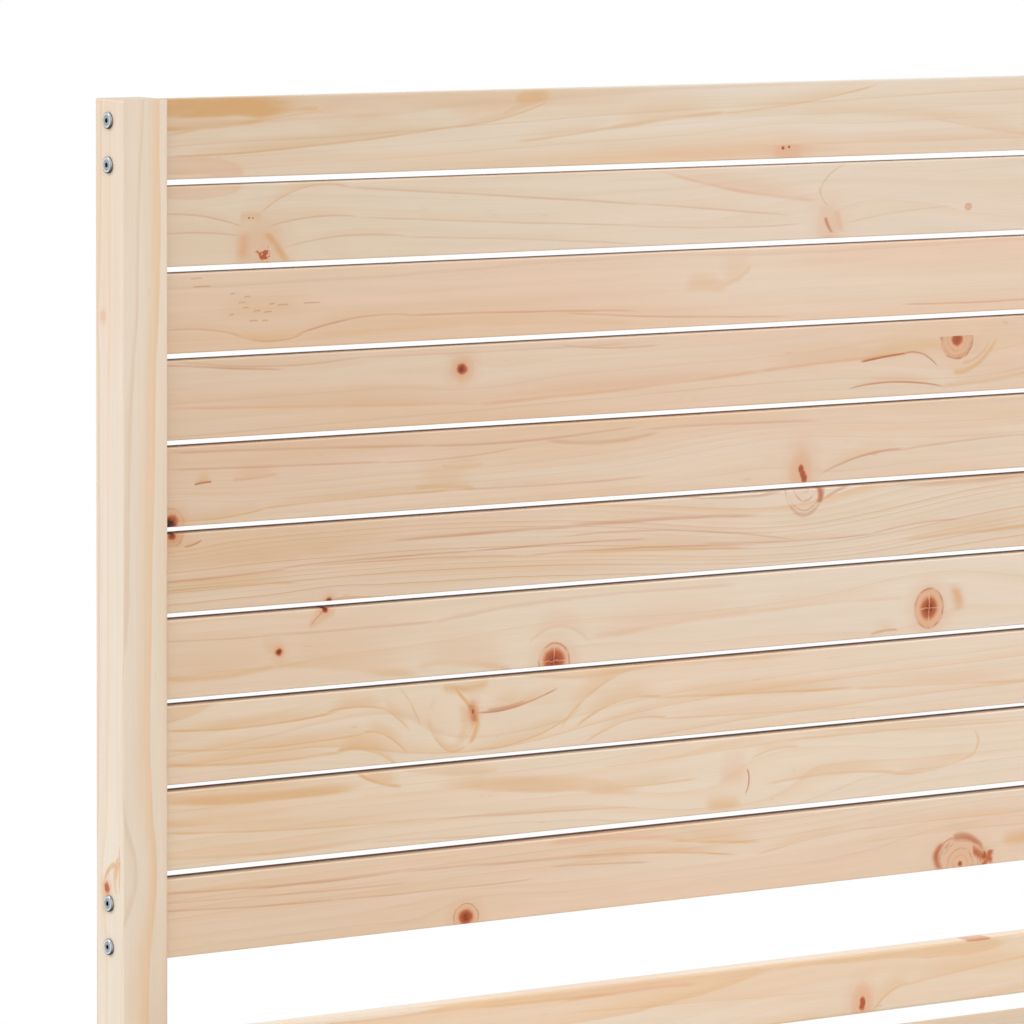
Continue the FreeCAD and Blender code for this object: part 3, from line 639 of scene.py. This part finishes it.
slat_streaks = {
    1: [gold(100, 116, 220, 108, 306, 108, 15, 0.80, soft=0.6),
        gold(225, 108, 255, 106, 285, 104, 9, 0.70, soft=1.0),
        gold(262, 113, 292, 110, 322, 109, 5, 0.60, soft=1.0),
        gold(60, 122, 300, 112, 640, 92, 26, 0.30, soft=1.0), gold(130, 128, 190, 129, 270, 119, 4, 0.65),
        gold(160, 137, 247, 122, 335, 110, 2.2, 0.50), gold(160, 158, 320, 145, 465, 125, 1.8, 0.60),
        gold(450, 127, 505, 118, 552, 100, 1.8, 0.60), gold(500, 116, 528, 103, 552, 94, 6, 0.45, 1.0),
        gold(512, 98, 533, 96, 553, 95, 7, 0.60, 1.0, 0.75), gold(515, 142, 575, 134, 625, 125, 2.0, 0.45),
        gold(600, 130, 660, 120, 730, 112, 3.4, 0.50), gold(715, 114, 800, 103, 880, 84, 1.8, 0.50),
        gold(690, 118, 850, 109, 1030, 128, 9, 0.28, soft=1.0),
        gold(930, 117, 980, 128, 1040, 135, 2.5, 0.35),
        pink(636, 156, 740, 151, 840, 147, 8, 0.22, soft=0.6), pink(800, 144, 900, 141, 1040, 137, 1.5, 0.40),
        pink(150, 170, 200, 168, 243, 172, 9, 0.35, soft=0.3)],
    2: [pink(150, 190, 205, 193, 242, 186, 8, 0.35, soft=0.3), gold(259, 214, 290, 193, 350, 187, 1.5, 0.50),
        vein(340, 187, 485, 195, 650, 204, 1.5, 0.22), vein(640, 204, 700, 208, 795, 216, 1.3, 0.20),
        vein(266, 228, 300, 219, 360, 217, 1.2, 0.26), vein(350, 217, 485, 222, 640, 225, 1.2, 0.22),
        vein(620, 225, 710, 228, 805, 223, 1.2, 0.18), vein(284, 248, 322, 239, 410, 237, 1.2, 0.24),
        vein(400, 237, 500, 239, 640, 244, 1.2, 0.20), vein(160, 215, 205, 217, 243, 227, 1.2, 0.26),
        vein(160, 235, 200, 233, 240, 236, 1.2, 0.24), pink(660, 172, 735, 190, 820, 201, 3.0, 0.65),
        gold(850, 160, 828, 176, 820, 194, 2.0, 0.55, steep=True),
        vein(819, 186, 821, 196, 828, 206, 1.2, 0.34, steep=True),
        gold(267, 232, 275, 243, 285, 262, 4.4, 0.45, 1.0, 1.0, steep=True),
        pink(266, 232, 275, 244, 287, 262, 6.0, 0.75, 1.0, 1.0, steep=True),
        pink(244, 230, 244, 246, 242, 264, 8.0, 0.85, 1.0, 1.0, steep=True),
        gold(240, 217, 250, 216, 262, 218, 5.0, 0.40, 1.0),
        vein(826, 217, 828, 225, 832, 233, 2.4, 0.60, 1.0, steep=True),
        pink(836, 210, 839, 220, 841, 232, 4.0, 0.45, 1.0, steep=True),
        vein(845, 223, 890, 214, 950, 206, 1.2, 0.15)],
    3: [vein(160, 332, 215, 331, 245, 337, 1.2, 0.30), gold(228, 333, 262, 341, 305, 333, 1.3, 0.75),
        vein(295, 335, 347, 320, 415, 315, 1.4, 0.38), vein(400, 316, 520, 312, 640, 311, 1.4, 0.32),
        vein(560, 313, 685, 317, 790, 316, 1.4, 0.26), gold(300, 338, 450, 326, 640, 322, 5, 0.30, soft=1.0),
        vein(900, 304, 960, 303, 1040, 298, 1.3, 0.30), gold(683, 287, 706, 284, 728, 289, 11, 0.35),
        gold(718, 286, 740, 277, 752, 266, 5, 0.35), gold(215, 312, 262, 306, 312, 305, 16, 0.22, soft=1.0)],
    4: [vein(160, 366, 220, 368, 285, 370, 1.4, 0.36), vein(160, 360, 280, 366, 370, 356, 1.3, 0.22),
        vein(350, 358, 500, 351, 640, 343, 1.3, 0.15), vein(560, 345, 610, 348, 660, 345, 1.2, 0.26),
        pink(160, 409, 330, 406, 490, 404, 2.5, 0.55), pink(470, 405, 600, 392, 770, 370, 2.8, 0.70),
        pink(755, 372, 830, 362, 910, 354, 2.6, 0.75), vein(860, 362, 884, 357, 908, 353, 1.6, 0.85),
        vein(903, 354, 922, 354, 938, 366, 1.5, 0.55), vein(848, 389, 895, 382, 945, 387, 1.3, 0.60),
        gold(940, 386, 985, 381, 1040, 368, 3, 0.35), gold(952, 371, 975, 365, 998, 338, 3.6, 0.60, 1.0),
        pink(962, 362, 978, 356, 990, 342, 2.4, 0.60, 1.0),
        gold(870, 351, 912, 346, 945, 347, 8.0, 0.36, 1.0)],
    5: [vein(160, 453, 300, 449, 440, 445, 1.8, 0.24), vein(420, 446, 510, 442, 640, 426, 1.8, 0.26),
        vein(545, 440, 600, 443, 660, 432, 3.0, 0.26), vein(640, 430, 720, 424, 820, 421, 1.8, 0.20),
        vein(160, 470, 290, 466, 390, 461, 1.5, 0.24), vein(380, 462, 430, 460, 520, 447, 1.3, 0.20),
        gold(160, 521, 215, 519, 270, 507, 1.6, 0.60), gold(255, 509, 360, 498, 460, 489, 1.6, 0.60),
        vein(450, 490, 540, 486, 650, 476, 1.4, 0.28), gold(412, 489, 440, 486, 476, 489, 4, 0.50),
        gold(440, 466, 465, 467, 484, 464, 3, 0.40), pink(232, 480, 252, 478, 278, 474, 2.5, 0.60),
        vein(194, 485, 203, 483, 212, 482, 1.5, 0.80), vein(820, 475, 848, 461, 905, 449, 1.8, 0.42),
        vein(890, 452, 960, 441, 1040, 434, 1.6, 0.22)],
    6: [gold(150, 566, 260, 553, 420, 540, 24, 0.32, soft=1.0), vein(160, 583, 225, 577, 290, 569, 1.6, 0.34),
        gold(160, 592, 225, 586, 300, 583, 1.8, 0.60), vein(275, 569, 360, 560, 480, 551, 1.3, 0.38),
        vein(465, 552, 550, 545, 650, 539, 1.3, 0.42), vein(305, 567, 400, 560, 530, 556, 1.3, 0.32),
        vein(515, 557, 620, 549, 760, 545, 1.3, 0.34), vein(385, 542, 470, 534, 580, 527, 2.0, 0.34),
        vein(560, 527, 650, 520, 760, 515, 2.6, 0.30), vein(560, 537, 690, 531, 800, 541, 1.4, 0.26),
        vein(700, 543, 800, 541, 880, 533, 1.2, 0.34), gold(560, 555, 650, 550, 750, 548, 2.2, 0.60),
        vein(865, 536, 890, 529, 960, 519, 1.3, 0.26), gold(900, 541, 960, 533, 1040, 525, 3.0, 0.50),
        vein(822, 500, 845, 487, 900, 482, 2.4, 0.36), vein(890, 484, 960, 482, 1040, 470, 4.0, 0.22),
        vein(184, 547, 193, 545, 202, 540, 1.3, 0.55),
        vein(818, 483, 821, 493, 819, 503, 4.0, 0.75, 1.0, steep=True)],
    7: [vein(160, 642, 215, 640, 280, 635, 1.3, 0.22), vein(265, 636, 330, 631, 440, 621, 2.0, 0.18),
        vein(430, 623, 500, 609, 580, 597, 3.0, 0.16), gold(160, 679, 220, 677, 280, 665, 5.0, 0.42),
        gold(265, 665, 340, 668, 420, 676, 6.0, 0.36), gold(415, 669, 460, 663, 515, 671, 5.0, 0.38),
        pink(528, 645, 560, 626, 592, 645, 3.0, 0.40), pink(585, 640, 680, 622, 760, 611, 5.0, 0.40),
        pink(740, 614, 830, 603, 910, 598, 3.0, 0.30), vein(540, 600, 640, 592, 740, 584, 2.5, 0.14),
        pink(951, 582, 957, 596, 957, 612, 10, 0.90, 1.0, 1.0, steep=True),
        gold(954, 588, 959, 600, 958, 610, 5, 0.50, 1.0, 1.0, steep=True),
        vein(870, 635, 885, 631, 898, 630, 1.8, 0.40), vein(311, 625, 318, 617, 327, 609, 1.6, 0.40),
        pink(308, 626, 320, 620, 336, 612, 6, 0.50), gold(260, 645, 271, 646, 284, 645, 11, 0.28)],
    8: [gold(160, 731, 250, 727, 340, 711, 1.8, 0.70), gold(325, 713, 355, 707, 388, 710, 1.8, 0.65),
        gold(380, 708, 395, 716, 410, 731, 1.8, 0.55), gold(160, 751, 270, 747, 375, 732, 1.8, 0.60),
        gold(362, 733, 385, 735, 408, 754, 1.8, 0.60), gold(160, 765, 250, 763, 350, 751, 2.6, 0.55),
        gold(335, 752, 365, 750, 398, 766, 3.0, 0.70),
        gold(454, 686, 463, 697, 473, 712, 3.0, 0.75, 1.0, 1.0, steep=True),
        gold(474, 706, 477, 724, 470, 744, 3.6, 0.75, 1.0, 1.0, steep=True),
        pink(471, 700, 473, 712, 474, 726, 6.0, 0.70, 1.0, 1.0, steep=True),
        gold(462, 704, 465, 724, 459, 744, 6.0, 0.30, 1.0, 1.0, steep=True),
        gold(442, 687, 462, 688, 490, 681, 5.0, 0.50, 1.0, 1.0),
        vein(470, 704, 473, 712, 475, 722, 4.0, 0.55, 1.0, steep=True),
        gold(425, 718, 438, 742, 466, 745, 1.5, 0.60),
        gold(398, 686, 405, 695, 420, 725, 1.6, 0.45, steep=True),
        vein(476, 713, 518, 706, 558, 688, 1.5, 0.62), vein(486, 711, 505, 708, 526, 702, 2.4, 0.50),
        gold(470, 750, 530, 738, 582, 708, 2.0, 0.50), gold(560, 728, 595, 690, 640, 668, 3.2, 0.55),
        gold(620, 671, 700, 663, 800, 654, 4.0, 0.36), gold(575, 727, 612, 704, 665, 698, 2.2, 0.60),
        gold(650, 699, 735, 694, 860, 688, 2.4, 0.60), gold(845, 689, 930, 685, 1040, 680, 2.4, 0.42),
        gold(583, 744, 615, 725, 670, 718, 1.8, 0.45), gold(655, 719, 740, 714, 880, 707, 1.8, 0.38)],
    9: [gold(150, 801, 270, 797, 365, 785, 7, 0.60, soft=0.7),
        gold(150, 796, 240, 790, 330, 781, 14, 0.28, soft=1.0), gold(356, 773, 378, 783, 402, 787, 3.0, 0.75),
        gold(400, 770, 440, 774, 500, 770, 4.0, 0.40), gold(440, 787, 510, 785, 640, 790, 9, 0.42, soft=0.6),
        gold(150, 826, 240, 823, 320, 822, 5.0, 0.35, soft=1.0),
        gold(150, 834, 300, 829, 440, 818, 1.8, 0.50),
        vein(425, 820, 530, 813, 640, 807, 1.5, 0.20), gold(150, 860, 260, 854, 370, 841, 2.6, 0.42),
        vein(360, 843, 450, 838, 560, 833, 1.6, 0.14), gold(560, 788, 620, 787, 700, 778, 2.0, 0.42),
        gold(600, 768, 700, 754, 790, 740, 1.6, 0.36), gold(770, 742, 880, 731, 1040, 720, 2.0, 0.40),
        pink(718, 777, 732, 772, 748, 770, 20, 0.32, soft=1.0), gold(704, 804, 722, 804, 742, 801, 8, 0.45),
        vein(747, 768, 749, 780, 745, 794, 1.4, 0.65, steep=True),
        gold(750, 760, 765, 752, 800, 747, 2.0, 0.35), gold(765, 785, 810, 776, 900, 772, 2.4, 0.42),
        gold(890, 773, 940, 768, 977, 752, 2.4, 0.45),
        gold(974, 730, 978, 742, 966, 760, 2.2, 0.45, steep=True)],
    10: [vein(150, 895, 290, 885, 410, 871, 1.8, 0.30), vein(395, 873, 520, 862, 640, 854, 2.0, 0.24),
         vein(150, 912, 250, 907, 340, 899, 1.2, 0.26), vein(330, 900, 430, 891, 540, 878, 1.2, 0.22),
         vein(150, 905, 300, 893, 420, 882, 1.2, 0.20), pink(545, 845, 620, 838, 690, 841, 4.5, 0.55),
         gold(560, 858, 640, 853, 738, 855, 1.4, 0.75), gold(670, 841, 715, 842, 760, 842, 2.6, 0.60),
         vein(550, 867, 600, 864, 650, 862, 1.3, 0.24), gold(755, 855, 800, 842, 860, 829, 1.5, 0.38),
         gold(845, 831, 940, 820, 1040, 809, 1.8, 0.42), gold(860, 843, 940, 832, 1040, 822, 1.6, 0.30),
         vein(952, 839, 968, 837, 984, 849, 4.6, 0.80, 1.0, 1.0),
         vein(972, 848, 981, 854, 993, 858, 5.0, 0.90, 1.0),
         vein(991, 849, 989, 857, 982, 867, 4.6, 0.90, 1.0, steep=True),
         vein(943, 842, 937, 854, 940, 870, 5.2, 0.85, 1.0, 1.0, steep=True),
         vein(936, 852, 942, 845, 954, 838, 1.4, 0.60, 1.0), gold(1000, 842, 1015, 839, 1035, 834, 9, 0.60)],
}
# Short veins by pixel and length
flecks = ((190, 279, 13), (193, 287, 18), (230, 294, 5), (244, 297, 6), (238, 303, 8), (243, 308, 6),
          (253, 311, 8), (264, 312, 8), (269, 304, 6), (249, 321, 9), (229, 315, 5), (277, 305, 12),
          (303, 303, 18), (262, 321, 6))
slat_streaks[3] += [vein(x, y, x + length / 2, y - 0.6, x + length, y - 0.8, 0.9, 0.36, 1.0)
                    for x, y, length in flecks]
# The boards' own figures. Their Shade also holds painted light: it rises from slat 1 to slat 10, so the lower
# boards look more brightly lit.
look_names = ("Shade", "Pith Across", "Pith Depth", "Tilt", "Ring", "Rosy", "Golden", "Line", "Band")
slat_looks = {
    1: (0.985, 0.045, 0.03, 0.028, 0.0085, 0.1, 0.6, 0.25, 0.4),
    2: (0.985, -0.035, 0.035, -0.012, 0.0075, -0.05, 0.15, 0.3, 0.25),
    3: (1.015, 0.055, 0.03, 0.01, 0.012, 0.75, 0.15, 0.3, 0.25),
    4: (0.99, 0.05, 0.03, 0.035, 0.0095, 0.7, 0.35, 0.25, 0.35),
    5: (1.0, 0.05, 0.025, 0.022, 0.0055, 0.7, 0.5, 0.25, 0.4),
    6: (1.0, -0.06, 0.025, 0.006, 0.004, 0.25, 1.0, 0.8, 0.9),
    7: (1.04, -0.05, 0.03, 0.03, 0.01, 0.05, 0.05, 0.15, 0.25),
    8: (1.07, 0.05, 0.03, 0.03, 0.007, 0.2, 0.75, 0.25, 0.55),
    9: (1.09, -0.05, 0.025, 0.01, 0.007, -0.05, 0.15, 0.2, 0.3),
    10: (1.09, -0.045, 0.03, 0.02, 0.0065, 0.35, 0.2, 0.25, 0.3),
}

for number in range(1, 11):
    name = "headboard_slat_%02d" % number
    knots = slat_knots[number] + more_knots(name, "across the bed", number % 3, 0.68, 0.97)
    look = dict(zip(look_names, slat_looks[number]))
    dress(name, pine(name, "across the bed", knots, slat_streaks[number], inside=number > 1, left_falloff=True,
                     **look))

rail_knots = [knot((862, 1004), 0.020, 0.35, 0.26, 0.1, 0.80, 0.65, ragged=0.6, view=rail_view)]
rail_streaks = [streak(*row, view=rail_view) for row in (
    ("vein", 966, 941, 978, 940, 992, 938, 2.2, 0.70), ("gold", 872, 1012, 886, 995, 912, 984, 2.6, 0.50),
    ("gold", 900, 987, 960, 971, 1040, 953, 2.6, 0.42), ("pink", 560, 1002, 620, 992, 700, 984, 3.0, 0.60),
    ("gold", 420, 1014, 520, 1003, 620, 993, 2.6, 0.45), ("gold", 560, 1014, 700, 1002, 830, 992, 1.6, 0.30))]
# Shade 1.18 is partly a paler board and partly painted light, making the rail brighter than the slats above
# it
dress("head_rail", pine("head_rail", "across the bed", rail_knots, rail_streaks, Shade=1.18, Rosy=0.0,
                        Golden=0.36, Tilt=0.02, Line=0.45, Band=0.6))
dress("foot_rail", pine("foot_rail", "across the bed", more_knots("foot_rail", "across the bed", 4)))
on_post = {"view": side_view, "branch": through_sides}
post_knots = [knot((103, 316), 0.0050, 0.0, 0.5, 0.0, 0.7, **on_post),
              knot((107, 888), 0.0075, 0.30, 0.50, 0.0, 1.0, ragged=0.6, **on_post),
              knot((112, 874), 0.0080, 0.0, 0.55, 0.2, 0.15, ragged=0.9, flow=0.9, **on_post)]
post_streaks = [
    gold(104, 880, 108, 871, 118, 868, 3.5, 0.85, 1.0, view=side_view, steep=True),
    gold(117, 896, 115, 880, 119, 856, 3.0, 0.70, 1.0, view=side_view),
    gold(105, 915, 105, 900, 106, 880, 6.0, 0.45, 1.0, view=side_view),
    pink(116, 880, 117, 870, 120, 862, 3.0, 0.80, 1.0, view=side_view),
    vein(119, 896, 120, 874, 119, 846, 0.8, 0.50, view=side_view)]
calm = {"Pith Depth": 0.055, "Pith Across": -0.03, "Ring": 0.0080, "Band": 0.75, "Line": 0.35, "Rosy": 0.1,
        "Golden": 0.3}
dress("head_post_left", pine("head_post_left", "upright", post_knots, post_streaks, Shade=0.98, **calm))
for name in ("head_post_right", "foot_post_left", "foot_post_right"):
    dress(name, pine(name, "upright", more_knots(name, "upright", 2), **calm))
for name in ("side_rail_left", "side_rail_right"):
    dress(name, pine(name, "down the bed", more_knots(name, "down the bed", 5)))
plain = {"Rosy": 0.0, "Golden": 0.2, "Shade": 1.08}
for name in ("side_cleat_left", "side_cleat_right", "centre_beam"):
    dress(name, pine(name, "down the bed", more_knots(name, "down the bed", 3), **plain))
for name in ("centre_leg_head", "centre_leg_middle", "centre_leg_foot"):
    dress(name, pine(name, "upright", **plain))
for number in range(1, 15):
    name = "bed_slat_%02d" % number
    dress(name, pine(name, "laid flat", more_knots(name, "laid flat", number * 5 % 3), **plain))


# Metal and dowels

def turned_head(g, place, centres):
    """Brightness of turned heads round axes along X: turning rings, painted shade in the socket, a painted
    highlight on the bevel and painted shade on the rim.
    """
    offsets = [g.vector("MULTIPLY", g.vector("SUBTRACT", place, centre), (0.0, 1.0, 1.0))
               for centre in centres]
    reach, rise = 1.0, 0.0
    for offset in offsets:
        own = g.vector("LENGTH", offset, output=1)
        rise = g.plus(rise, g.times(g.split(offset)[2], g.math("LESS_THAN", own, head_reach)))
        reach = g.math("MINIMUM", reach, own)
    rings = g.ramp(g.math("SINE", g.times(reach, turning_marks)), -1.0, 1.0, *turning_shine)
    # Painted shade in the socket, a painted highlight on the bevel, and painted shade on the rim, darkest at
    # its bottom
    socket = g.ramp(reach, *socket_edge, *socket_painted_shade)
    bevel_highlight = g.times(g.ramp(reach, *bevel_inside), g.ramp(reach, *bevel_outside))
    bevel_highlight = g.plus(1.0, g.times(bevel_highlight, bevel_highlight_gain))
    rim = g.times(g.ramp(reach, *rim_edge), g.ramp(rise, *rim_rise, *rim_shade))
    shine = g.times(g.times(rings, socket), bevel_highlight)
    return g.times(shine, g.minus(1.0, rim))


def zinc(name, colour, roughness, heads=()):
    material, g, shader = new_material(name)
    place = g.node("ShaderNodeTexCoord", output="Object")
    spangle = g.noise(place, spangle_scale, 3.0, 0.6)
    cloud = g.noise(place, cloud_scale, 2.0)
    shine = g.times(g.ramp(spangle, 0.3, 0.7, 0.88, 1.06), g.ramp(cloud, 0.3, 0.7, 0.92, 1.05))
    if heads:
        shine = g.times(shine, turned_head(g, place, heads))
    g.wire(shader.inputs["Base Color"], g.mix(1.0, colour, g.join(shine, shine, shine), "MULTIPLY"))
    g.wire(shader.inputs["Roughness"], g.ramp(cloud, 0.3, 0.7, roughness - 0.06, roughness + 0.08))
    shader.inputs["Metallic"].default_value = 1.0
    bump = g.node("ShaderNodeBump", {"Height": spangle, "Strength": spangle_bump, "Distance": spangle_height})
    g.wire(shader.inputs["Normal"], bump)
    return material


def beech():
    material, g, shader = new_material("beech dowel")
    place = g.node("ShaderNodeTexCoord", output="Object")
    fibre = g.noise(g.vector("MULTIPLY", place, beech_scale), 1.0, 3.0)
    g.wire(shader.inputs["Base Color"], g.mix(g.ramp(fibre, 0.3, 0.7), beech_pale, beech_dark))
    g.wire(shader.inputs["Roughness"], g.ramp(fibre, 0.3, 0.7, 0.55, 0.7))
    return material


head_bolts = []
for board in ("headboard_slat_01", "headboard_slat_10"):
    low, high = [Vector(corner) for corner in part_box(board)]
    for share in bolt_shares:
        head_bolts.append(Vector((0.0, (low[1] + high[1]) / 2, low[2] + share * (high[2] - low[2]))))
fasteners = (
    (zinc("zinc bolt", (0.42, 0.43, 0.45, 1.0), 0.34), ("side_rail_bolts", "foot_rail_bolts")),
    (zinc("zinc nut", (0.45, 0.46, 0.48, 1.0), 0.38),
     ("headboard_barrel_nuts", "side_rail_barrel_nuts", "foot_rail_barrel_nuts")),
    (zinc("zinc screw", (0.50, 0.50, 0.50, 1.0), 0.30), ("cleat_screws", "bed_slat_screws", "leg_screws")),
    (beech(), ("headboard_dowels", "rail_dowels")),
    (zinc("turned zinc bolt", (0.40, 0.42, 0.44, 1.0), 0.34, head_bolts), ("headboard_bolts",)))
for material, names in fasteners:
    for name in names:
        dress(name, material)


# Floor, room, lamps and camera

def seen_directly(g):
    """1 for what the camera, a mirror or glass sees, and 0 for the light on the object."""
    rays = g.tree.nodes.new("ShaderNodeLightPath")
    seen = g.math("MAXIMUM", rays.outputs["Is Camera Ray"], rays.outputs["Is Glossy Ray"])
    return g.math("MAXIMUM", seen, rays.outputs["Is Transmission Ray"])


def make_floor():
    mesh = bpy.data.meshes.new("floor")
    h = floor_half_width
    mesh.from_pydata([(-h, -h, 0.0), (h, -h, 0.0), (h, h, 0.0), (-h, h, 0.0)], [], [(0, 1, 2, 3)])
    floor = bpy.data.objects.new("floor", mesh)
    bpy.context.scene.collection.objects.link(floor)
    material = bpy.data.materials.new("floor")
    material.use_nodes = True
    tree = material.node_tree
    tree.nodes.clear()
    g = Graph(tree)
    place = g.node("ShaderNodeTexCoord", output="Object")
    x, y = g.split(g.vector("ABSOLUTE", place))[:2]
    beside = g.math("MAXIMUM", g.minus(x, bed_half_width), 0.0)
    beyond = g.math("MAXIMUM", g.minus(y, bed_half_length), 0.0)
    away = g.vector("LENGTH", g.join(beside, beyond, 0.0), output=1)
    far = g.ramp(away, shade_from, white_from)
    white = g.times(far, seen_directly(g))
    matt = g.node("ShaderNodeBsdfDiffuse", {"Color": floor_colour})
    glow = g.node("ShaderNodeEmission", {"Color": (1.0, 1.0, 1.0, 1.0), "Strength": 1.0})
    both = g.node("ShaderNodeMixShader", {0: white, 1: matt, 2: glow})
    result = tree.nodes.new("ShaderNodeOutputMaterial")
    tree.links.new(both, result.inputs["Surface"])
    mesh.materials.append(material)


def make_room():
    world = bpy.data.worlds.new("room")
    bpy.context.scene.world = world
    world.use_nodes = True
    g = Graph(world.node_tree)
    y, z = g.split(g.node("ShaderNodeTexCoord", output="Generated"))[1:]
    lit = g.plus(room_light, g.times(z, room_above))
    lit = g.minus(lit, g.times(y, room_in_front))
    background = world.node_tree.nodes["Background"]
    background.inputs["Color"].default_value = (1.0, 1.0, 1.0, 1.0)
    strength = g.node("ShaderNodeMix", {0: seen_directly(g), 2: lit, 3: 1.0}, 0)
    g.wire(background.inputs["Strength"], strength)


def make_lamp(name, strength, softness, direction):
    lamp = bpy.data.lights.new(name, "SUN")
    lamp.energy = strength
    lamp.angle = softness
    holder = bpy.data.objects.new(name, lamp)
    holder.rotation_mode = "QUATERNION"
    holder.rotation_quaternion = direction.to_track_quat("-Z", "Y")
    bpy.context.scene.collection.objects.link(holder)


def make_camera():
    data = bpy.data.cameras.new("camera")
    data.sensor_width = sensor_width_mm
    data.lens = focal_pixels / image_pixels * sensor_width_mm
    camera = bpy.data.objects.new("camera", data)
    columns = Matrix((camera_right, camera_up, -camera_forward)).transposed()
    camera.matrix_world = Matrix.Translation(camera_place) @ columns.to_4x4()
    bpy.context.scene.collection.objects.link(camera)
    bpy.context.scene.camera = camera


make_floor()
make_room()
make_lamp("key", key_light, key_softness, key_direction)
make_lamp("fill", fill_light, fill_softness, fill_direction)
make_camera()
bpy.context.scene.view_settings.view_transform = "Standard"
